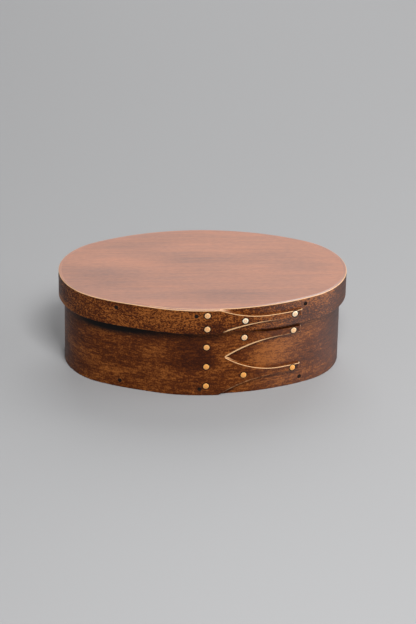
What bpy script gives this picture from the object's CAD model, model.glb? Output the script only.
"""Bentwood oval box with a lift-off lid: its dressed surfaces, finishes, lamps and camera.

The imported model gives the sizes, the bodies and the pegs. The bands, the boards and the tacks are
worked out here round the same ovals. Lengths are metres, X runs along the box, the fingers are at
-Y, and facing angles are counted from the front towards the right end.
"""

import math

import bmesh
import bpy
import numpy as np
from bpy.props import FloatProperty, FloatVectorProperty, PointerProperty
from bpy.types import Operator, Panel, PropertyGroup
from mathutils import Matrix, Vector


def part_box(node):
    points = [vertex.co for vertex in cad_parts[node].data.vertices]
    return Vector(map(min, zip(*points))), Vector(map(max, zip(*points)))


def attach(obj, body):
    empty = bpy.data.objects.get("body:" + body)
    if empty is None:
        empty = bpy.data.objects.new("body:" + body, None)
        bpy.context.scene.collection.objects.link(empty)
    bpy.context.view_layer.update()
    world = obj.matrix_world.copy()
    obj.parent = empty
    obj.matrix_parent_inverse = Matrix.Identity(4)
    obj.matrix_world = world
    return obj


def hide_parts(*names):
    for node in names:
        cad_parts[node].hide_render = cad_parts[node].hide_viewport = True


bl_info = {
    "name": "Bentwood Oval Box",
    "version": (1, 0, 0),
    "blender": (4, 5, 0),
    "location": "View3D > Sidebar > Oval Box",
    "description": "Dresses the packed model of a bentwood oval box",
    "category": "Object",
}

MM = 0.001
# Points that are closer than this are one
TINY = 1e-7

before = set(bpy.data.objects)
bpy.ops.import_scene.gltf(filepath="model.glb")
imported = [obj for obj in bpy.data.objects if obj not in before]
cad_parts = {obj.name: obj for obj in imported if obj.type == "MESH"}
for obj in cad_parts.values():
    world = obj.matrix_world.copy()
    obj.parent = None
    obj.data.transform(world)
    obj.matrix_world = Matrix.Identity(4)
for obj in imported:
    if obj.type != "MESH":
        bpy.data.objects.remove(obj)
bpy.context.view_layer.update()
BOX_BAND, LID_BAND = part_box("box_band"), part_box("lid_band")
BOTTOM_BOARD, LID_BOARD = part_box("box_bottom"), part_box("lid_top")


# ---- Sizes and colours ----


def length(name, description, millimetres):
    """A property that holds a length."""
    return FloatProperty(
        name=name, description=description, default=millimetres * MM, unit="LENGTH", precision=5
    )


def angle(name, description, degrees):
    """A property that holds an angle."""
    return FloatProperty(
        name=name, description=description, default=math.radians(degrees), unit="ROTATION"
    )


def colour(name, description, rgb):
    """A property that holds a colour."""
    return FloatVectorProperty(
        name=name, description=description, default=rgb, subtype="COLOR", size=3, min=0, max=1
    )


class BandShape(PropertyGroup):
    """Sizes of the two bent bands, with lengths along a lap counted from its row of tacks."""

    end_radius: length("End radius", "Radius of the two ends inside the box band", 33)
    thickness: length("Thickness", "Thickness of the bent wood", 1.6)
    peg_proud: length("Peg ends", "How far the wood lies below the ends of its pegs", 0.05)
    seam: length("Seam", "Gap between the two layers of a lap", 0.08)
    feather: length("Feather", "Thickness of the hidden inner end at its edge", 0.3)
    climb: length("Climb", "Length over which a band climbs onto its own end", 34)
    climb_to_row: length("Climb to row", "From the end of the climb to the row of tacks", 7.5)
    shoulder_at: length("Shoulder", "Where the outer edges of the fingers start", 6.5)
    point_at: length("Point", "Where the gap between the box fingers starts", 9.6)
    tip_at: length("Tips", "Where the fingers end", 51.6)
    tip_bevel: length("Tip bevel", "Length of the bevel on the finger tips", 0.8)
    finger_offset: length("Finger offset", "From the middle of the gap to a box finger", 11)
    finger_drop: length("Finger drop", "How far that gap lies below the middle of the band", 0.6)
    box_finger: length("Box finger", "Width of a box finger at its tip", 3.6)
    lid_finger: length("Lid finger", "Width of the lid finger at its tip", 3.4)
    box_arch: length("Box arch", "Length of the arched edges of the box fingers", 31)
    lid_arch: length("Lid arch", "Length of the arched edges of the lid finger", 27)
    bevel: angle("Bevel", "Slope of the cut along the fingers", 12)
    start_bevel: angle("Start bevel", "Slope of that cut where a finger starts", 40)
    bevel_fade: length("Bevel fade", "Length over which the slope eases", 7)
    arris: length("Arris", "Radius of the rubbed outer edges", 0.3)
    inner_arris: length("Inner arris", "Radius of the inner edges", 0.04)


class TackShape(PropertyGroup):
    """Sizes of the copper tacks."""

    near: length("Near tack", "From the row to the first tack of a finger", 19.7)
    far: length("Far tack", "From the row to the second tack of a finger", 47)
    head: length("Head", "Diameter of a head", 3.05)
    proud: length("Proud", "Height of the middle of a head over the wood", 0.45)
    rim: length("Rim", "Height of the rim of a head over the wood", 0.1)
    button: length("Button", "Radius of the ring struck round the middle of a head", 0.62)
    shank: length("Shank", "Diameter of the shank", 1.3)
    clinch: length("Clinch", "Length of the tip turned over on the inside", 2.2)
    clinch_proud: length("Clinch height", "How far the turned tip stands out of the wood", 0.12)


class WoodColours(PropertyGroup):
    """Colours of the stained wood, the copper and the pegs."""

    dark: colour("Dark stain", "Where the stain has pooled", (0.040, 0.0080, 0.0020))
    middle: colour("Stain", "Most of the bands", (0.112, 0.0255, 0.0035))
    light: colour("Thin stain", "Where the stain is thin", (0.33, 0.102, 0.019))
    worn: colour("Worn edge", "Edges rubbed through the stain", (0.86, 0.52, 0.26))
    grime: colour("Grime", "Dark rings round the tacks", (0.010, 0.006, 0.005))
    board_dark: colour("Board dark", "Dark grain of the lid board", (0.205, 0.078, 0.045))
    board_light: colour("Board light", "Light grain of the lid board", (0.45, 0.165, 0.078))
    copper: colour("Copper", "Polished tack heads", (1.0, 0.47, 0.12))
    copper_pale: colour("Pale copper", "The palest of them", (1.0, 0.84, 0.60))
    copper_ring: colour("Copper ring", "The struck ring of a head", (0.90, 0.33, 0.08))
    peg: colour("Peg", "End grain of the pegs", (0.008, 0.005, 0.004))


# Width of the picture's long side on the film, in millimetres
LONG_SIDE = 36


class StageSettings(PropertyGroup):
    """Floor, lamps and camera."""

    floor: colour("Floor", "Colour of the floor", (0.39, 0.39, 0.395))
    sky: FloatProperty(name="Sky", description="Brightness of the surroundings", default=0.16)
    back_power: FloatProperty(name="Back lamp", description="Lamp behind and above", default=7.0)
    front_power: FloatProperty(name="Front lamp", description="Lamp high at the front", default=8.5)
    right_power: FloatProperty(name="Right lamp", description="Lamp on the right", default=8.0)
    azimuth: angle("Azimuth", "Direction of the camera from the front", -3.534)
    elevation: angle("Elevation", "Height of the camera over the horizon", 27.055)
    roll: angle("Roll", "Turn of the camera about its view", 1.082)
    distance: length("Distance", "From the camera to the point that it looks at", 1487.4)
    aim: FloatVectorProperty(
        name="Aim", description="Point that the camera looks at", subtype="XYZ", unit="LENGTH",
        default=(3.174 * MM, -1.065 * MM, 25.842 * MM),
    )
    lens: FloatProperty(
        name="Lens", description=f"Focal length in mm on a {LONG_SIDE} mm long side", default=161.54
    )


class OvalBoxSettings(PropertyGroup):
    """All the settings of the box."""

    band: PointerProperty(type=BandShape)
    tack: PointerProperty(type=TackShape)
    wood: PointerProperty(type=WoodColours)
    stage: PointerProperty(type=StageSettings)


# ---- Materials ----


class Signal:
    """An output socket, on which Python's operators add Math nodes."""

    def __init__(self, finish, socket):
        self.finish = finish
        self.socket = socket

    def maths(self, operation, first, second):
        """The result of a Math node."""
        return self.finish.node("ShaderNodeMath", {0: first, 1: second}, operation=operation)

    def __add__(self, other):
        return self.maths("ADD", self, other)

    def __sub__(self, other):
        return self.maths("SUBTRACT", self, other)

    def __rsub__(self, other):
        return self.maths("SUBTRACT", other, self)

    def __mul__(self, other):
        return self.maths("MULTIPLY", self, other)

    __radd__ = __add__
    __rmul__ = __mul__

    def at_most(self, other):
        """The smaller of the two."""
        return self.maths("MINIMUM", self, other)


class Finish:
    """A material that is being made. Patterns are laid out in millimetres."""

    MIX_FACTOR, MIX_A, MIX_B, MIX_RESULT = 0, 6, 7, 2
    # A soft oval is full inside the first share of its size, and gone at the second
    PATCH_FULL, PATCH_GONE = 0.2, 1.3

    def __init__(self, name):
        self.material = bpy.data.materials.new(name)
        self.material.use_nodes = True
        self.nodes = self.material.node_tree.nodes
        self.links = self.material.node_tree.links
        self.nodes.clear()

    def node(self, kind, sockets, output=0, **settings):
        """Adds a node: first its settings, then values or links for its sockets."""
        node = self.nodes.new(kind)
        for name, value in settings.items():
            setattr(node, name, value)
        for key, value in sockets.items():
            if isinstance(value, Signal):
                self.links.new(value.socket, node.inputs[key])
            else:
                node.inputs[key].default_value = value
        return Signal(self, node.outputs[output]) if node.outputs else node

    def strip_place(self):
        """Length along the strip and height across it, from the piece's own map."""
        return self.node("ShaderNodeUVMap", {}, uv_map="Grain")

    def solid_place(self):
        """Place in the piece's own space, in millimetres."""
        place = self.node("ShaderNodeTexCoord", {}, output="Object")
        return self.node("ShaderNodeMapping", {"Vector": place, "Scale": (1 / MM,) * 3})

    def attribute(self, name):
        """A value that the mesh holds for each of its points."""
        return self.node("ShaderNodeAttribute", {}, output="Fac", attribute_name=name)

    def noise(self, place, size, shift, detail, rough=0.5):
        """Noise from 0 to 1, about 0.5, whose lumps have the given size along each axis."""
        scale = tuple(1 / s for s in size)
        moved = self.node("ShaderNodeMapping", {"Vector": place, "Location": shift, "Scale": scale})
        sockets = {"Vector": moved, "Scale": 1.0, "Detail": detail, "Roughness": rough}
        return self.node("ShaderNodeTexNoise", sockets, noise_dimensions="3D")

    def ramp(self, value, low, high, shape="SMOOTHSTEP"):
        """0 where value is at low, 1 at high."""
        sockets = {"Value": value, "From Min": low, "From Max": high}
        return self.node("ShaderNodeMapRange", sockets, interpolation_type=shape, clamp=True)

    def blend(self, factor, first, second):
        """Colour first where factor is 0, second where it is 1."""
        first, second = (c if isinstance(c, Signal) else (*c, 1.0) for c in (first, second))
        sockets = {self.MIX_FACTOR: factor, self.MIX_A: first, self.MIX_B: second}
        return self.node("ShaderNodeMix", sockets, output=self.MIX_RESULT, data_type="RGBA")

    def near(self, place, spots, inner, outer):
        """1 within inner of any of the spots, 0 from outer on."""
        distance = None
        for spot in spots:
            reach = self.node(
                "ShaderNodeVectorMath", {0: place, 1: (*spot, 0.0)}, output="Value", operation="DISTANCE"
            )
            distance = reach if distance is None else distance.at_most(reach)
        return self.ramp(distance, outer, inner)

    def patches(self, place, spots):
        """Sum of soft ovals, each (along, across, half length, half height, change)."""
        total = 0.0
        for along_it, across, half_length, half_height, change in spots:
            scale = (1 / half_length, 1 / half_height, 0)
            shift = (-along_it / half_length, -across / half_height, 0)
            inside = self.node("ShaderNodeMapping", {"Vector": place, "Location": shift, "Scale": scale})
            away = self.node("ShaderNodeVectorMath", {0: inside}, output="Value", operation="LENGTH")
            total = self.ramp(away, self.PATCH_GONE, self.PATCH_FULL) * change + total
        return total

    def bump(self, height, depth):
        """Normals of a relief that is depth millimetres deep."""
        sockets = {"Height": height, "Distance": depth * MM, "Strength": 1.0}
        return self.node("ShaderNodeBump", sockets)

    def surface(self, **sockets):
        """Ends the material with its surface shader."""
        named = {name.replace("_", " ").title(): value for name, value in sockets.items()}
        if "Specular" in named:
            named["Specular IOR Level"] = named.pop("Specular")
        if not isinstance(named["Base Color"], Signal):
            named["Base Color"] = (*named["Base Color"], 1.0)
        shader = self.node("ShaderNodeBsdfPrincipled", named)
        self.node("ShaderNodeOutputMaterial", {"Surface": shader})
        return self.material


def layered_tone(finish, place, shift, layers):
    """A tone about 0.5, and its noises: 0.5 plus the sum of strength * (noise - 0.5).

    Each layer is (size of the lumps in millimetres, strength, detail, roughness).
    """
    noises = [finish.noise(place, size, shift, detail, rough) for size, _, detail, rough in layers]
    tone = 0.5
    for noise, (_, strength, _, _) in zip(noises, layers):
        tone = (noise - 0.5) * strength + tone
    return tone, noises


def wood_tone(finish, place, seed, speckle):
    """How thin the stain is, 0 to 1: broad clouds, streaks, dashes along the grain, fine flecks."""
    layers = [
        ((24, 9, 9), 1.1, 2.5, 0.5),
        ((8, 1.1, 1.1), 0.7, 2, 0.5),
        ((2.6, 1.2, 1.2), 0.9, 1, 0.5),
        ((0.85, 0.65, 0.65), speckle, 1, 0.5),
    ]
    tone, (_, streak, _, fleck) = layered_tone(finish, place, (seed, seed * 1.7, seed * 0.3), layers)
    return tone, streak, fleck


def stained(finish, tone, dark, middle, light):
    """Colour of the stain, from dark over middle to light as tone goes from 0 to 1."""
    half = finish.blend(finish.ramp(tone, 0.0, 0.5, "LINEAR"), dark, middle)
    return finish.blend(finish.ramp(tone, 0.5, 1.0, "LINEAR"), half, light)


# How worn an edge is where the wear begins to show, and where no stain is left
WEAR_SHOWS = (0.25, 0.85)
# Dark ring round a tack: where it is full and where it is gone, from the middle of the head
HALO = (1.75, 2.35)
# Blur of the line where a lid band's upper face starts, in millimetres, and the satin on that face
TOP_BLUR, TOP_COAT = 0.1, 0.7


def band_finish(name, colours, tacks, patches, polish, seed, speckle, dirt=(), top=None):
    """Stained strip: mottled grain along it, worn edges and dark rings round its tacks.

    Each patch is (length, height, half length, half height, tone) in millimetres: a soft spot
    where the stain is thinner, or thicker where the tone is below 0. Polish and dirt are the same
    for a satin coat and for dark dirt. Above the height top the strip looks like the lid board.
    """
    finish = Finish(name)
    place = finish.strip_place()
    tone, streak, fleck = wood_tone(finish, place, seed, speckle)
    tone = tone + finish.patches(place, patches)
    base = stained(finish, tone, colours.dark, colours.middle, colours.light)
    coat = finish.patches(place, polish)
    if top is not None:
        cloud, _ = layered_tone(finish, place, (seed, 0, 0), [((14, 2, 2), 1.2, 2, 0.5)])
        board = finish.blend(cloud, colours.board_dark, colours.board_light)
        height = finish.node("ShaderNodeSeparateXYZ", {"Vector": place}, output="Y")
        upper_face = finish.ramp(height, top - TOP_BLUR, top + TOP_BLUR)
        base = finish.blend(upper_face, base, board)
        coat = coat + upper_face * TOP_COAT
    rubbed, _ = layered_tone(finish, place, (seed, 3, 1), [((3.0, 0.5, 0.5), 0.6, 3, 0.5)])
    wear = finish.attribute("wear") + (rubbed - 0.5)
    base = finish.blend(finish.ramp(wear, *WEAR_SHOWS), base, colours.worn)
    grime = finish.near(place, tacks, *HALO)
    if dirt:
        grime = finish.patches(place, dirt) * finish.attribute("outside") + grime
    base = finish.blend(grime, base, colours.grime)
    return finish.surface(
        base_color=base,
        roughness=0.54 - streak * 0.20,
        normal=finish.bump(streak * 0.7 + fleck * 0.3, 0.04),
        specular=0.13,
        coat_weight=coat,
        coat_roughness=0.42,
    )


def board_finish(name, colours, patches, seed):
    """Stained flat board: long faint grain along X, with a satin sheen."""
    finish = Finish(name)
    place = finish.solid_place()
    layers = [((55, 17, 30), 1.1, 2, 0.5), ((38, 1.6, 8), 0.8, 3, 0.6), ((3.0, 1.3, 2), 0.6, 2, 0.5)]
    tone, (_, grain, fleck) = layered_tone(finish, place, (seed, seed, 0), layers)
    tone = tone + finish.patches(place, patches)
    base = finish.blend(finish.ramp(tone, 0.0, 1.0, "LINEAR"), colours.board_dark, colours.board_light)
    return finish.surface(
        base_color=base,
        roughness=0.38 + grain * 0.12,
        normal=finish.bump(grain * 0.7 + fleck * 0.3, 0.03),
        specular=0.5,
    )


def copper_finish(colours):
    """Polished copper with fine scratches, deeper in colour in the ring round its middle.

    The mesh says how pale each head is.
    """
    finish = Finish("copper")
    place = finish.solid_place()
    ring = finish.attribute("ring")
    head = finish.blend(finish.attribute("pale"), colours.copper, colours.copper_pale)
    scratch = finish.noise(place, (0.5, 0.12, 0.3), (3, 1, 2), detail=2)
    base = finish.blend(ring * 0.8, head, colours.copper_ring)
    return finish.surface(
        base_color=base,
        metallic=0.25,
        roughness=0.28 + scratch * 0.16,
        normal=finish.bump(scratch, 0.01),
    )


def peg_finish(colours):
    """End grain that has soaked up the stain."""
    finish = Finish("peg_end_grain")
    place = finish.solid_place()
    pores = finish.noise(place, (0.25, 0.25, 0.25), (1, 2, 3), detail=3)
    base = finish.blend(finish.ramp(pores, 0.35, 0.75), colours.peg, [3 * c for c in colours.peg])
    return finish.surface(
        base_color=base, roughness=0.6 + pores * 0.2, normal=finish.bump(pores, 0.03), specular=0.1
    )


# ---- Round the ovals ----


def facing(a):
    """Unit directions [sin a, -cos a] that face the angles a."""
    return np.stack([np.sin(a), -np.cos(a)], axis=-1)


def angle_of(vector):
    """Facing angle of a vector."""
    return math.atan2(vector[0], -vector[1])


class Oval:
    """Four arcs that meet smoothly: a flat one on each side and a round one at each end.

    The ends have their centres at x = +-end_x, and the sides theirs at side_y before and behind
    the middle, so that side_radius = (end_x^2 + (width / 2)^2 - end_radius^2) / (width - 2 end_radius).
    """

    def __init__(self, length, width, end_radius, middle_y=0.0):
        self.end_x = length / 2 - end_radius
        self.end_radius = end_radius
        half = self.end_x**2 + (width / 2) ** 2 - end_radius**2
        self.side_radius = half / (width - 2 * end_radius)
        self.side_y = self.side_radius - width / 2
        self.turn = math.atan2(self.end_x, self.side_y)
        self.middle_y = middle_y

    def front(self):
        """Centre of the arc that is the front side."""
        return np.array([0.0, self.middle_y + self.side_y])

    def around(self, first, last):
        """Arcs (centre, radius, first angle, last angle) from a place on the front once round."""
        back = np.array([0.0, self.middle_y - self.side_y])
        right, left = np.array([[self.end_x, self.middle_y], [-self.end_x, self.middle_y]])
        turn, half, whole = self.turn, math.pi, 2 * math.pi
        return [
            (self.front(), self.side_radius, first, turn),
            (right, self.end_radius, turn, half - turn),
            (back, self.side_radius, half - turn, half + turn),
            (left, self.end_radius, half + turn, whole - turn),
            (self.front(), self.side_radius, whole - turn, whole + last),
        ]


def stops(keys, step):
    """Values from the first key to the last, through each key and about step apart."""
    runs = [
        np.linspace(a, b, max(1, math.ceil(abs(b - a) / step)) + 1)[:-1] for a, b in zip(keys, keys[1:])
    ]
    return np.concatenate([*runs, keys[-1:]])


def along(arcs, step):
    """Stations about step apart on a chain of arcs: rows of centre x, centre y, radius and angle."""
    rows = []
    for number, (centre, radius, first, last) in enumerate(arcs):
        a = stops([first, last], step / radius)[min(number, 1):]
        rows.append(np.column_stack([np.tile([*centre, radius], (len(a), 1)), a]))
    return np.concatenate(rows)


def reach(circle, radius, centre, a):
    """How far it is from centre, towards the angles a, to a circle: the larger root of its equation."""
    offset = np.asarray(circle) - centre
    ahead = facing(a) @ offset
    return ahead + np.sqrt(ahead**2 - offset @ offset + radius**2)


class Strip:
    """A band as stations along its inner face, each with its thickness and unrolled length.

    It starts at its feathered end, goes once round the oval, climbs over that end on two arcs
    that meet smoothly, and lies on itself as far as the finger tips. Unrolled lengths are counted
    from the row of tacks.
    """

    # Distance between stations, and on the lap
    STEP, LAP_STEP = 1.2 * MM, 0.35 * MM

    def __init__(self, oval, shape):
        front, r = oval.front(), oval.side_radius
        rise_by = shape.thickness + shape.seam
        self.lap_radius = r + rise_by + shape.thickness
        self.front = front

        # The climb leaves the oval on a flatter arc, which rises by lift x^2 / 2 over a length x,
        # and comes onto the lap's circle on a rounder one. They touch where their centres line up.
        climb_end = self.lap_angle(-shape.climb_to_row)
        climb_start = climb_end - shape.climb / r
        lift = 4 * rise_by / shape.climb**2
        flat_by = 1 / (1 / r - lift) - r
        sweep = climb_end - climb_start
        top_r = r + rise_by
        round_r = (top_r**2 - r**2 + 2 * flat_by * (top_r * math.cos(sweep) - r)) / (
            2 * rise_by - 2 * flat_by * (1 - math.cos(sweep))
        )
        flat_c = front - flat_by * facing(climb_start)
        round_c = front + (top_r - round_r) * facing(climb_end)
        meet = angle_of(round_c - flat_c)
        whole = 2 * math.pi
        rise = [
            (flat_c, r + flat_by, climb_start + whole, meet + whole),
            (round_c, round_r, meet + whole, climb_end + whole),
        ]
        feather_at = climb_start + math.sqrt(2 * (shape.feather + shape.seam) / lift) / r
        under = along([(front, r, feather_at, climb_end)], self.STEP)
        once = along([*oval.around(climb_end, climb_start), *rise], self.STEP)[1:]
        tip_starts = shape.tip_at - shape.tip_bevel
        keys = [-shape.climb_to_row, shape.shoulder_at, shape.point_at, tip_starts, shape.tip_at]
        lap_s = stops(keys, self.LAP_STEP)[1:]
        lap = np.column_stack(
            [np.tile([*front, r + rise_by], (len(lap_s), 1)), self.lap_angle(lap_s) + whole]
        )
        rows = np.concatenate([under, once, lap])
        self.centre, self.radius, self.angle = rows[:, :2], rows[:, 2], rows[:, 3]

        # The hidden end is as thick as the room under the climb lets it be
        full = shape.thickness - shape.peg_proud
        self.thick = np.full(len(rows), full)
        a = under[:, 3]
        joint = angle_of(flat_c + (r + flat_by) * facing(meet) - front)
        room = np.where(
            a < joint, reach(flat_c, r + flat_by, front, a), reach(round_c, round_r, front, a)
        )
        self.thick[: len(a)] = np.minimum(room - r - shape.seam, full)

        # Unrolled length at the middle of the wood, or over the outer face on the lap
        middle = self.centre + (self.radius + full / 2)[:, None] * facing(self.angle)
        run = np.concatenate([[0], np.cumsum(np.linalg.norm(np.diff(middle, axis=0), axis=1))])
        run -= np.interp(whole, self.angle, run)
        self.s = np.where(self.angle > whole, self.lap_radius * (self.angle - whole), run)
        self.first_row_s = float(np.interp(0.0, self.angle, self.s))

        # The bevel on the tips thins the wood
        self.to_tip = shape.tip_at - self.s
        self.thick -= np.clip(shape.tip_bevel - self.to_tip, 0, None)

    def lap_angle(self, s):
        """Facing angle of a place on the lap: length over the radius of its outer face."""
        return s / self.lap_radius

    def place(self, n, z):
        """Points n outwards from the inner face and z high, on every station."""
        flat = self.centre[:, None] + (self.radius[:, None] + n)[..., None] * facing(self.angle)[:, None]
        return np.concatenate([flat, z[..., None]], axis=-1)


# Columns of a section on an outer and an inner corner, each with one on its cut beside the arc
CORNER, INNER_CORNER = 7, 4
# Where that column is on the cut, from the corner's centre, as a share of the rest of the wood
BESIDE_ARC, BESIDE_INNER_ARC = 0.2, -0.04
# Columns of a face, counted from each of its corners, and the share of it that they take at most
OFFSETS = np.array([0.45, 1.2, 4.0]) * MM
MOST_OF_FACE = 0.45
# How worn an outer corner is from column to column, where it looks up and where it looks down
WORN_ARC = {1: (0.3, 0.8, 1, 1, 0.9, 0.4), -1: (1, 1, 1, 1, 0.9, 0.4)}
# The same for the column above a corner that looks down
WORN_ABOVE = 0.75
# How worn a cut is where its finger starts, as a share of its corner's wear
FRESH_CUT = 0.7
# Lengths from the start of an edge between which its wear changes
WEAR_STOPS = np.array([0, 4, 18, 32]) * MM
# Length of the worn part of a tip
WORN_TIP = 0.72 * MM


class Edge:
    """One long edge of a lane of a strip, at a height for each station.

    From its start the edge moves in by an arch: width - (R - sqrt(R^2 - (arch - x)^2)), where
    R = (arch^2 + width^2) / (2 width). Its cut leans, so that the wood is wider at the inner face
    by lean, and its slope eases as exp(-x / fade). An edge that two lanes share before its start is
    no edge there: its radii shrink to nothing. Worn holds how worn it is before its start, along
    the arch and at the tip.
    """

    def __init__(self, strip, shape, height, sign, worn, start, arch, width, shared=False):
        s = strip.s
        self.sign = sign
        before, arched, at_tip = worn
        self.worn = np.interp(s, start + WEAR_STOPS, (before, arched, arched, at_tip))[:, None]
        x = np.clip(s - start, 0, arch)
        radius = (arch**2 + width**2) / (2 * width)
        moved = np.where(s < start + TINY, 0, width - radius + np.sqrt(radius**2 - (arch - x) ** 2))
        self.z = height - sign * moved
        fade = np.exp(-np.clip(s - start, 0, None) / shape.bevel_fade)
        self.fresh = np.where(s > start, arched * FRESH_CUT * fade, 0)
        slope = shape.bevel + (shape.start_bevel - shape.bevel) * fade
        most = strip.thick * np.tan(slope)
        self.lean = most * -np.expm1(-moved / most)
        open_share = -np.expm1(-moved / shape.arris) if shared else np.ones_like(s)
        self.outer, self.inner = shape.arris * open_share, shape.inner_arris * open_share
        self.before = np.clip(start - s, 0, None) if shared else np.zeros_like(s)


def section(strip, low, high):
    """Outline of a lane at every station: offsets n, heights z, and how worn each point is.

    Each corner is an arc that touches both its faces, about the centre (n_c, z_c) with
    n_c = thick - r and z_c = z + r tan(b) - r / cos(b), where b is the slope of the cut. The
    columns go up the inner face, out along the top, down the outer face and back in.
    """
    thick = strip.thick[:, None]

    def corner(edge, outer):
        """Columns n and z of a corner, from the cut to the face, and the height of its centre."""
        slope = np.arctan2(edge.lean[:, None], thick)
        radius = (edge.outer if outer else edge.inner)[:, None]
        n_c = thick - radius if outer else radius
        z_c = edge.z[:, None] + edge.sign * ((thick - n_c) * np.tan(slope) - radius / np.cos(slope))
        upright = math.pi / 2 - slope
        face = 0 if outer else math.pi
        columns = (CORNER if outer else INNER_CORNER) - 1
        phi = upright + (face - upright) * np.linspace(0, 1, columns)
        n, rise = n_c + radius * np.cos(phi), radius * np.sin(phi)
        back = (BESIDE_ARC if outer else BESIDE_INNER_ARC) * (thick - radius)
        n = np.concatenate([n[:, :1] - back, n], axis=1)
        rise = np.concatenate([rise[:, :1] + back * np.tan(slope), rise], axis=1)
        return n, z_c + edge.sign * rise, z_c

    top_in_n, top_in_z, top_in_c = (x[:, ::-1] for x in corner(high, False))
    top_n, top_z, top_c = corner(high, True)
    low_n, low_z, low_c = (x[:, ::-1] for x in corner(low, True))
    low_in_n, low_in_z, low_in_c = corner(low, False)

    def face(top, bottom):
        """Heights between two corners, close together near each."""
        squeeze = np.minimum(1, MOST_OF_FACE * (top - bottom) / OFFSETS[-1])
        near_top = top - OFFSETS * squeeze
        near_bottom = bottom + OFFSETS[::-1] * squeeze
        return np.concatenate([near_top, (top + bottom) / 2, near_bottom], axis=1)

    outer_z = face(top_c, low_c)
    inner_z = face(top_in_c, low_in_c)[:, ::-1]
    ones = np.ones_like(outer_z)
    n = np.concatenate([low_in_n, 0 * ones, top_in_n, top_n, thick * ones, low_n], axis=1)
    z = np.concatenate([low_in_z, inner_z, top_in_z, top_z, outer_z, low_z], axis=1)

    # Worn on the arcs of the outer corners, round the start of an edge that two lanes share, on
    # the cut where a finger starts, and at the tip, there most of all high up
    columns = n.shape[1]
    top_at = 2 * INNER_CORNER + inner_z.shape[1]
    low_at = columns - CORNER
    cut_above, cut_below = np.zeros((2, columns))
    cut_above[top_at - INNER_CORNER : top_at + 1] = 1
    cut_below[:INNER_CORNER] = cut_below[-1] = 1
    worn = np.zeros(n.shape)
    for edge, first, corner_z, cut in (
        (high, top_at + 1, top_c, cut_above), (low, low_at, low_c, cut_below)
    ):
        on_arc = np.zeros(columns)
        on_arc[first : first + CORNER - 1] = WORN_ARC[edge.sign]
        if edge is low:
            on_arc[low_at - 1] = WORN_ABOVE
        away = np.hypot(np.where(on_arc, 0, np.abs(z - corner_z)), edge.before[:, None])
        soft = np.clip(1 - away / OFFSETS[0], 0, 1) * (n > 0.75 * thick)
        worn = np.maximum(worn, edge.worn * np.where(edge.before[:, None] > 0, soft, on_arc))
        worn = np.maximum(worn, edge.fresh[:, None] * cut)
    tip = np.clip(1 - strip.to_tip[:, None] / WORN_TIP, 0, 1) * (n > 0.5 * thick)
    up = np.clip((z - low.z[:, None]) / (high.z - low.z)[:, None], 0, 1)
    return n, z, np.maximum(worn, tip * np.clip(1.8 * up - 0.6, 0.4, 1))


def grid_faces(rows, columns):
    """Quads between neighbouring rows and columns, round and round the columns."""
    index = np.arange(rows * columns).reshape(rows, columns)
    ahead = np.roll(index, -1, axis=1)
    return np.stack([index[:-1], ahead[:-1], ahead[1:], index[1:]], axis=-1)


# Edges that turn by more than this stay sharp
CREASE = math.radians(40)


def add_mesh(name, points, faces, maps=None, **attributes):
    """A mesh object from points and faces, welded where points coincide, with smooth faces."""
    mesh = bpy.data.meshes.new(name)
    mesh.from_pydata(points, [], faces)
    if maps is not None:
        corner = np.empty(len(mesh.loops), dtype=np.int32)
        mesh.loops.foreach_get("vertex_index", corner)
        grain = mesh.uv_layers.new(name="Grain")
        grain.uv.foreach_set("vector", maps[corner].astype(np.float32).ravel())
    for key, values in attributes.items():
        layer = mesh.attributes.new(key, "FLOAT", "POINT")
        layer.data.foreach_set("value", np.ascontiguousarray(values, dtype=np.float32).ravel())
    weld(mesh)
    mesh.shade_smooth()
    mesh.set_sharp_from_angle(angle=CREASE)
    obj = bpy.data.objects.new(name, mesh)
    bpy.context.scene.collection.objects.link(obj)
    return obj


def weld(mesh):
    """Merges points that coincide, which also drops faces with no area."""
    work = bmesh.new()
    work.from_mesh(mesh)
    bmesh.ops.remove_doubles(work, verts=work.verts, dist=TINY)
    work.to_mesh(mesh)
    work.free()


def add_band(name, strip, lanes):
    """One mesh of all the lanes of a strip, whose map is (length, height + thickness - offset).

    Neighbouring lanes share their wood up to the gap between them, so the walls there are left
    out. The mesh says how worn each point is, and whether it is in the outer half of the wood.
    """
    points, faces, maps, worn, outside = [], [], [], [], []
    count = 0
    for low, high in lanes:
        n, z, wear = section(strip, low, high)
        rows, columns = n.shape
        quads = grid_faces(rows, columns)
        wall = INNER_CORNER + 2 * len(OFFSETS) + 1
        keep = np.ones((rows - 1, columns), dtype=bool)
        for edge, first in ((high, wall), (low, columns - CORNER)):
            shared = np.maximum(edge.before[1:], edge.before[:-1]) > TINY
            walls = np.arange(first, first + INNER_CORNER + CORNER - 1) % columns
            keep[np.ix_(shared, walls)] = False
        faces += (quads[keep] + count).tolist()
        first, end = np.arange(columns), np.arange(columns) + (rows - 1) * columns
        faces += [(first[::-1] + count).tolist(), (end + count).tolist()]
        points.append(strip.place(n, z).reshape(-1, 3))
        thick = strip.thick[:, None]
        run = np.broadcast_to(strip.s[:, None], n.shape)
        maps.append(np.stack([run / MM, (z + thick - n) / MM], axis=-1).reshape(-1, 2))
        worn.append(wear.ravel())
        outside.append((n > 0.5 * thick).ravel())
        count += n.size
    attributes = {"wear": np.concatenate(worn), "outside": np.concatenate(outside)}
    return add_mesh(name, np.concatenate(points), faces, maps=np.concatenate(maps), **attributes)


def dress(obj, body, material, node):
    """Gives a piece its finish, its body and the node that it stands for."""
    obj.data.materials.clear()
    obj.data.materials.append(material)
    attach(obj, body)
    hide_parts(node)


def box_oval(shape):
    """The oval of the box band's inner face, which the bottom board fills."""
    size = BOTTOM_BOARD[1] - BOTTOM_BOARD[0]
    return Oval(size.x, size.y, shape.end_radius)


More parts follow.
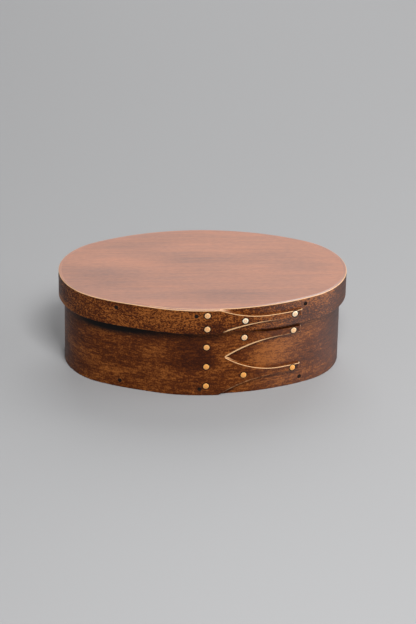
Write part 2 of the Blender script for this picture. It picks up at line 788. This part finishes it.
def lid_oval(shape):
    """The oval of the lid band's inner face: the box's, grown, and set a little forward."""
    size = LID_BOARD[1] - LID_BOARD[0]
    grown = LID_BOARD[1].x - BOTTOM_BOARD[1].x
    return Oval(size.x, size.y, shape.end_radius + grown, (LID_BOARD[0].y + LID_BOARD[1].y) / 2)


def tack_places(tack):
    """Length along the lap and height of every tack, by the node that it stands for.

    Those of a row are at length 0. Those of a finger are near and far by turns.
    """
    places = {}
    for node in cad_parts:
        if "_tack_" not in node:
            continue
        row, number = node.split("_tack_")
        by_turns = (tack.near, tack.far)[(int(number) - 1) % 2]
        low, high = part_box(node)
        places[node] = (by_turns if row.endswith("_finger") else 0.0, (low.z + high.z) / 2)
    return places


def tack_spots(tack, body):
    """Places of a body's tacks on the map of its band, in millimetres."""
    places = tack_places(tack)
    return [(s / MM, z / MM) for node, (s, z) in places.items() if node.startswith(body)]


def tip_shadows(spots):
    """A dark patch on the right of each tack near a finger tip."""
    return [(s + 2.5, z, 1.0, 1.6, -0.5) for s, z in spots if s > 40]


# ---- Operators ----


class OVALBOX_OT_box_band(Operator):
    """Make the box band, with its two fingers"""

    bl_idname = "ovalbox.box_band"
    bl_label = "Box Band"

    def execute(self, context):
        settings = context.scene.oval_box
        shape = settings.band
        strip = Strip(box_oval(shape), shape)
        bottom, top = BOX_BAND[0].z, BOX_BAND[1].z

        # The edges: two outer ones, and the two of the gap between the fingers
        middle = (bottom + top) / 2 - shape.finger_drop
        reach_out = shape.finger_offset + shape.box_finger / 2
        width_below, width_above = middle - reach_out - bottom, top - middle - reach_out
        outer = dict(start=shape.shoulder_at, arch=shape.box_arch)
        below = Edge(strip, shape, bottom, -1, (0.1, 0.42, 0.3), width=width_below, **outer)
        above = Edge(strip, shape, top, 1, (0.2, 0, 0), width=width_above, **outer)
        inner_w = shape.finger_offset - shape.box_finger / 2
        gap = dict(start=shape.point_at, arch=shape.box_arch, width=inner_w, shared=True)
        lanes = [
            (below, Edge(strip, shape, middle, 1, (1, 1, 1), **gap)),
            (Edge(strip, shape, middle, -1, (0.9, 0.9, 0.45), **gap), above),
        ]
        band = add_band("bent_box_band", strip, lanes)

        # Its stain. Lengths count from the row of tacks, and under is the place on the strip's
        # first turn that the row lies over.
        spots = tack_spots(settings.tack, "box")
        under = strip.first_row_s / MM
        patches = [
            (-8, 24, 15, 10, -0.4),
            (0, 22, 6, 7, -0.35),
            (-34, 8, 26, 8, 0.14),
            (-62, 20, 14, 18, -0.12),
            (under + 37, 22, 17, 9, 0.42),
            (under + 14, 20, 6, 6, -0.10),
            (-43, 37, 24, 3.4, -0.6),
            (under + 94, 20, 30, 60, -0.5),
            *tip_shadows(spots),
        ]
        polish = [(46, 20, 22, 40, 0.7), (under + 54, 20, 30, 60, 1.1)]
        dirt = [(-50, 35.2, 32, 4.4, 1.2), (-14, 36.2, 16, 1.4, 0.6)]
        finish = band_finish(
            "stained_box_band", settings.wood, spots, patches, polish, seed=4.0, speckle=1.1, dirt=dirt
        )
        dress(band, "box", finish, "box_band")
        return {"FINISHED"}


class OVALBOX_OT_lid_band(Operator):
    """Make the lid band, with its one finger"""

    bl_idname = "ovalbox.lid_band"
    bl_label = "Lid Band"

    def execute(self, context):
        settings = context.scene.oval_box
        shape = settings.band
        strip = Strip(lid_oval(shape), shape)
        bottom, top = LID_BAND[0].z, LID_BAND[1].z
        width = (top - bottom - shape.lid_finger) / 2
        cut = dict(start=shape.shoulder_at, arch=shape.lid_arch, width=width)
        below = Edge(strip, shape, bottom, -1, (0, 0.85, 0.3), **cut)
        above = Edge(strip, shape, top, 1, (0.8, 0.9, 0.9), **cut)
        band = add_band("bent_lid_band", strip, [(below, above)])
        spots = tack_spots(settings.tack, "lid")
        under = strip.first_row_s / MM
        patches = [
            (-20, 47, 18, 6, 0.26),
            (-90, 38.6, 15, 2.4, 1.1),
            (4, 39, 8, 5, -0.2),
            (under + 96, 45, 30, 60, -0.5),
            *tip_shadows(spots),
        ]
        polish = [(46, 45, 22, 40, 0.7), (under + 54, 45, 30, 60, 1.3)]
        finish = band_finish(
            "stained_lid_band", settings.wood, spots, patches, polish, seed=11.0, speckle=2.5,
            top=top / MM,
        )
        dress(band, "lid", finish, "lid_band")
        return {"FINISHED"}


# Radius of the edges of the boards, and how far inside the outline the rings of a face lie
BOARD_ARRIS = 0.03 * MM
BOARD_RINGS = np.array([4.0, 1.0, 0.1]) * MM


def add_board(name, oval, bottom, top):
    """An oval board: rings of the outline moved inwards and up or down, closed in the middle.

    The first and the last ring shrink to the middle, the others of a face follow the outline less
    a margin, and an arc of radius BOARD_ARRIS joins each face to the edge.
    """
    rows = along(oval.around(0.0, 0.0), Strip.STEP)[:-1]
    centre, radius, a = rows[:, :2], rows[:, 2], rows[:, 3]
    quarter = np.linspace(0, math.pi / 2, 5)
    arc_in, arc_down = BOARD_ARRIS * (1 - np.sin(quarter)), BOARD_ARRIS * (1 - np.cos(quarter))
    inward = np.concatenate([BOARD_RINGS[:1], BOARD_RINGS, arc_in])
    height = np.concatenate([np.full(1 + len(BOARD_RINGS), top), top - arc_down])
    inward = np.concatenate([inward, inward[::-1]])
    height = np.concatenate([height, bottom + top - height[::-1]])
    shrink = np.ones(len(inward))
    shrink[[0, -1]] = 0
    outline = centre[None] + (radius[None] - inward[:, None])[..., None] * facing(a)[None]
    middle = np.array([0.0, oval.middle_y])
    flat = middle + (outline - middle) * shrink[:, None, None]
    points = np.concatenate([flat, np.broadcast_to(height[:, None, None], (*flat.shape[:2], 1))], -1)
    faces = grid_faces(*flat.shape[:2])[..., ::-1].reshape(-1, 4)
    return add_mesh(name, points.reshape(-1, 3), faces.tolist())


class OVALBOX_OT_boards(Operator):
    """Make the lid board and the bottom board"""

    bl_idname = "ovalbox.boards"
    bl_label = "Boards"

    def execute(self, context):
        settings = context.scene.oval_box
        shape = settings.band
        lid = add_board("lid_board", lid_oval(shape), LID_BOARD[0].z, LID_BOARD[1].z)
        patches = [
            (10, 3, 40, 6, 0.18),
            (-5, 24, 30, 7, 0.18),
            (-52, -8, 22, 12, -0.3),
            (52, -6, 22, 14, -0.28),
            (10, -34, 50, 10, -0.3),
        ]
        finish = board_finish("stained_lid_board", settings.wood, patches, 7.0)
        dress(lid, "lid", finish, "lid_top")
        bottom = add_board("bottom_board", box_oval(shape), BOTTOM_BOARD[0].z, BOTTOM_BOARD[1].z)
        finish = board_finish("stained_bottom_board", settings.wood, [], 19.0)
        dress(bottom, "box", finish, "box_bottom")
        return {"FINISHED"}


def turned(profile, sides):
    """A profile of (radius, height) rows carried round the height axis."""
    around = np.linspace(0, 2 * math.pi, sides, endpoint=False)
    radius, height = profile[:, :1], profile[:, 1:]
    return np.stack(
        [radius * np.cos(around), radius * np.sin(around), height + 0 * around], axis=-1
    )


# Columns round a head and round a clinched tip
HEAD_SIDES, TIP_SIDES = 32, 12
# Radius of a head's rounded rim, and how far the wood is dented under it
RIM_ROUND, RIM_UNDER = 0.12 * MM, 0.1 * MM
# Half width and depth of the struck ring, and how far the hammer's flats stand over the cap
RING_WIDE, RING_DEEP, FLAT_OVER = 0.2 * MM, 0.07 * MM, 0.02 * MM


def tack_head(tack, lap, seed):
    """Head and shank of a tack, round the height axis, and how much of each point is the ring.

    The head is a cap of a sphere on a rounded rim, less a shallow ring, and three flats that the
    hammer left: height = min(cap, flats). The shank goes down to the inside of the lap.
    """
    half = tack.head / 2
    crown = tack.proud - tack.rim
    cap_r = (half**2 + crown**2) / (2 * crown)
    r = np.concatenate([[0], np.linspace(0.12, 1, 12) * (half - RIM_ROUND)])
    ring = np.exp(-(((r - tack.button) / RING_WIDE) ** 2))
    cap = tack.proud - cap_r + np.sqrt(cap_r**2 - r**2) - RING_DEEP * ring
    edge = np.linspace(0, math.pi / 2, 5)[1:]
    edge_r = r[-1] + RIM_ROUND * np.sin(edge)
    edge_z = cap[-1] - RIM_ROUND * (1 - np.cos(edge))
    shank_r = tack.shank / 2
    tail = [(half, -RIM_UNDER), (shank_r, -1.2 * RIM_UNDER), (shank_r, -lap), (0, -lap)]
    profile = np.concatenate([np.column_stack([r, cap]), np.column_stack([edge_r, edge_z]), tail])
    points = turned(profile, HEAD_SIDES)
    random = np.random.default_rng(seed)
    for _ in range(3):
        toward = random.uniform(0, 2 * math.pi)
        tilt = random.uniform(0.10, 0.20)
        reach_out = random.uniform(0.55, 0.8) * half
        cap_there = tack.proud - cap_r + math.sqrt(cap_r**2 - reach_out**2)
        out = points[..., 0] * math.cos(toward) + points[..., 1] * math.sin(toward)
        flat = cap_there + FLAT_OVER - (out - reach_out) * tilt
        points[..., 2] = np.where(points[..., 2] > 0, np.minimum(points[..., 2], flat), points[..., 2])
    shade = np.concatenate([ring, np.zeros(len(profile) - len(r))])
    return points, np.broadcast_to(shade[:, None], points.shape[:2])


def turned_tip(tack, lap):
    """The clinched tip: ellipses that narrow along x, closed at both ends."""
    stations = np.array([-0.3, -0.3, 0.2, 1.0, 1.7, 2.1, 2.2])
    x = stations / stations[-1] * tack.clinch
    half_w = np.array([0, 0.5, 0.52, 0.42, 0.3, 0.2, 0]) * tack.shank
    half_h = np.array([0, 1, 1, 1, 0.9, 0.6, 0]) * tack.clinch_proud
    around = np.linspace(0, 2 * math.pi, TIP_SIDES, endpoint=False)
    return np.stack(
        [
            x[:, None] + 0 * around,
            half_w[:, None] * np.cos(around),
            -lap + half_h[:, None] * np.sin(around),
        ],
        axis=-1,
    )


def paleness(s, z):
    """How pale a head at length s and height z is: two slopes over 20 mm, clamped, multiplied."""
    return np.clip((z / MM - 22) / 20, 0, 1) * np.clip((s / MM + 7) / 20, 0, 1)


class OVALBOX_OT_tacks(Operator):
    """Make the copper tacks, each with its clinched tip"""

    bl_idname = "ovalbox.tacks"
    bl_label = "Copper Tacks"

    def execute(self, context):
        settings = context.scene.oval_box
        shape, tack = settings.band, settings.tack
        strips = {"box": Strip(box_oval(shape), shape), "lid": Strip(lid_oval(shape), shape)}
        lap = 2 * shape.thickness + shape.seam
        finish = copper_finish(settings.wood)
        for number, (node, (s, z)) in enumerate(tack_places(tack).items()):
            body = node[:3]
            strip = strips[body]
            a = strip.lap_angle(s)
            out = np.array([*facing(a), 0])
            side = np.array([math.cos(a), math.sin(a), 0])
            foot = np.array([*(strip.front + strip.lap_radius * facing(a)), z])
            head, ring = tack_head(tack, lap, number)
            tip = turned_tip(tack, lap)
            points, faces, shade = [], [], []
            for part, values in ((head, ring), (tip, np.zeros(tip.shape[:2]))):
                index = grid_faces(*part.shape[:2]) + sum(len(p) for p in points)
                index = index[..., ::-1] if part is head else index
                faces += index.reshape(-1, 4).tolist()
                local = part.reshape(-1, 3)
                points.append(foot + local @ np.stack([side, (0, 0, 1), out]))
                shade.append(values.ravel())
            points, shade = np.concatenate(points), np.concatenate(shade)
            pale = np.full(len(shade), paleness(s, z))
            obj = add_mesh(f"copper_{node}", points, faces, ring=shade, pale=pale)
            dress(obj, body, finish, node)
        return {"FINISHED"}


class OVALBOX_OT_pegs(Operator):
    """Finish the wooden pegs"""

    bl_idname = "ovalbox.pegs"
    bl_label = "Pegs"

    def execute(self, context):
        finish = peg_finish(context.scene.oval_box.wood)
        for name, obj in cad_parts.items():
            if "_peg_" in name:
                obj.data.materials.clear()
                obj.data.materials.append(finish)
        return {"FINISHED"}


class OVALBOX_OT_stage(Operator):
    """Make the floor, the lamps and the camera"""

    bl_idname = "ovalbox.stage"
    bl_label = "Stage"

    SKY = (0.96, 0.98, 1.0, 1.0)
    FLOOR_RINGS, FLOOR_SIDES = (0, 0.5, 2, 6.0), 64
    LAMPS_AIM = Vector((0, 0, 0.03))
    # Name, azimuth, elevation, distance, size and setting that holds the power of each lamp
    LAMPS = (
        ("back_lamp", 168, 42, 1.1, 0.9, "back_power"),
        ("front_lamp", 10, 50, 1.0, 0.3, "front_power"),
        ("right_lamp", 86, 6, 0.9, 0.6, "right_power"),
    )

    def execute(self, context):
        scene = context.scene
        stage = scene.oval_box.stage
        self.add_floor(stage)
        world = bpy.data.worlds.new("surroundings")
        world.use_nodes = True
        background = world.node_tree.nodes["Background"]
        background.inputs["Color"].default_value = self.SKY
        background.inputs["Strength"].default_value = stage.sky
        scene.world = world
        for name, azimuth, elevation, distance, size, power in self.LAMPS:
            lamp = bpy.data.lights.new(name, "AREA")
            lamp.size = size
            lamp.energy = getattr(stage, power)
            back = direction(math.radians(azimuth), math.radians(elevation))
            turn = back.to_track_quat("Z", "Y").to_matrix()
            self.put(name, lamp, self.LAMPS_AIM + back * distance, turn)
        self.add_camera(stage)
        scene.view_settings.view_transform = "Standard"
        return {"FINISHED"}

    def put(self, name, data, place, turn):
        """Adds a lamp or camera at a place, turned by a matrix."""
        obj = bpy.data.objects.new(name, data)
        obj.matrix_world = Matrix.Translation(place) @ turn.to_4x4()
        bpy.context.scene.collection.objects.link(obj)
        return obj

    def add_floor(self, stage):
        """A plain round floor, made of rings about the middle."""
        radii = np.array(self.FLOOR_RINGS)
        points = turned(np.column_stack([radii, 0 * radii]), self.FLOOR_SIDES)
        faces = grid_faces(*points.shape[:2])[..., ::-1].reshape(-1, 4)
        floor = add_mesh("floor", points.reshape(-1, 3), faces.tolist())
        material = Finish("floor").surface(base_color=stage.floor, roughness=0.9, specular=0.1)
        floor.data.materials.append(material)

    def add_camera(self, stage):
        """A camera on the view's direction from its aim, rolled about that direction."""
        camera = bpy.data.cameras.new("camera")
        camera.lens = stage.lens
        camera.sensor_width = LONG_SIDE
        back = direction(stage.azimuth, stage.elevation)
        right = (-back).cross(Vector((0, 0, 1))).normalized()
        up = right.cross(-back)
        c, s = math.cos(stage.roll), math.sin(stage.roll)
        turn = Matrix((right * c + up * s, up * c - right * s, back)).transposed()
        place = Vector(stage.aim) + back * stage.distance
        bpy.context.scene.camera = self.put("camera", camera, place, turn)


def direction(azimuth, elevation):
    """Unit vector from the object towards an azimuth, counted from the front, and an elevation."""
    flat = math.cos(elevation)
    return Vector((math.sin(azimuth) * flat, -math.cos(azimuth) * flat, math.sin(elevation)))


OPERATORS = (
    OVALBOX_OT_box_band,
    OVALBOX_OT_lid_band,
    OVALBOX_OT_boards,
    OVALBOX_OT_tacks,
    OVALBOX_OT_pegs,
    OVALBOX_OT_stage,
)


class OVALBOX_PT_sidebar(Panel):
    """Lists the pieces of the box"""

    bl_idname = "OVALBOX_PT_sidebar"
    bl_label = "Oval Box"
    bl_space_type = "VIEW_3D"
    bl_region_type = "UI"
    bl_category = "Oval Box"

    def draw(self, context):
        for operator in OPERATORS:
            self.layout.operator(operator.bl_idname)


GROUPS = (BandShape, TackShape, WoodColours, StageSettings, OvalBoxSettings)


def register():
    for cls in (*GROUPS, *OPERATORS, OVALBOX_PT_sidebar):
        bpy.utils.register_class(cls)
    bpy.types.Scene.oval_box = PointerProperty(type=OvalBoxSettings)


def unregister():
    del bpy.types.Scene.oval_box
    for cls in reversed((*GROUPS, *OPERATORS, OVALBOX_PT_sidebar)):
        bpy.utils.unregister_class(cls)


def main():
    register()
    for operator in OPERATORS:
        getattr(bpy.ops.ovalbox, operator.bl_idname.split(".")[1])()


if __name__ == "__main__":
    main()
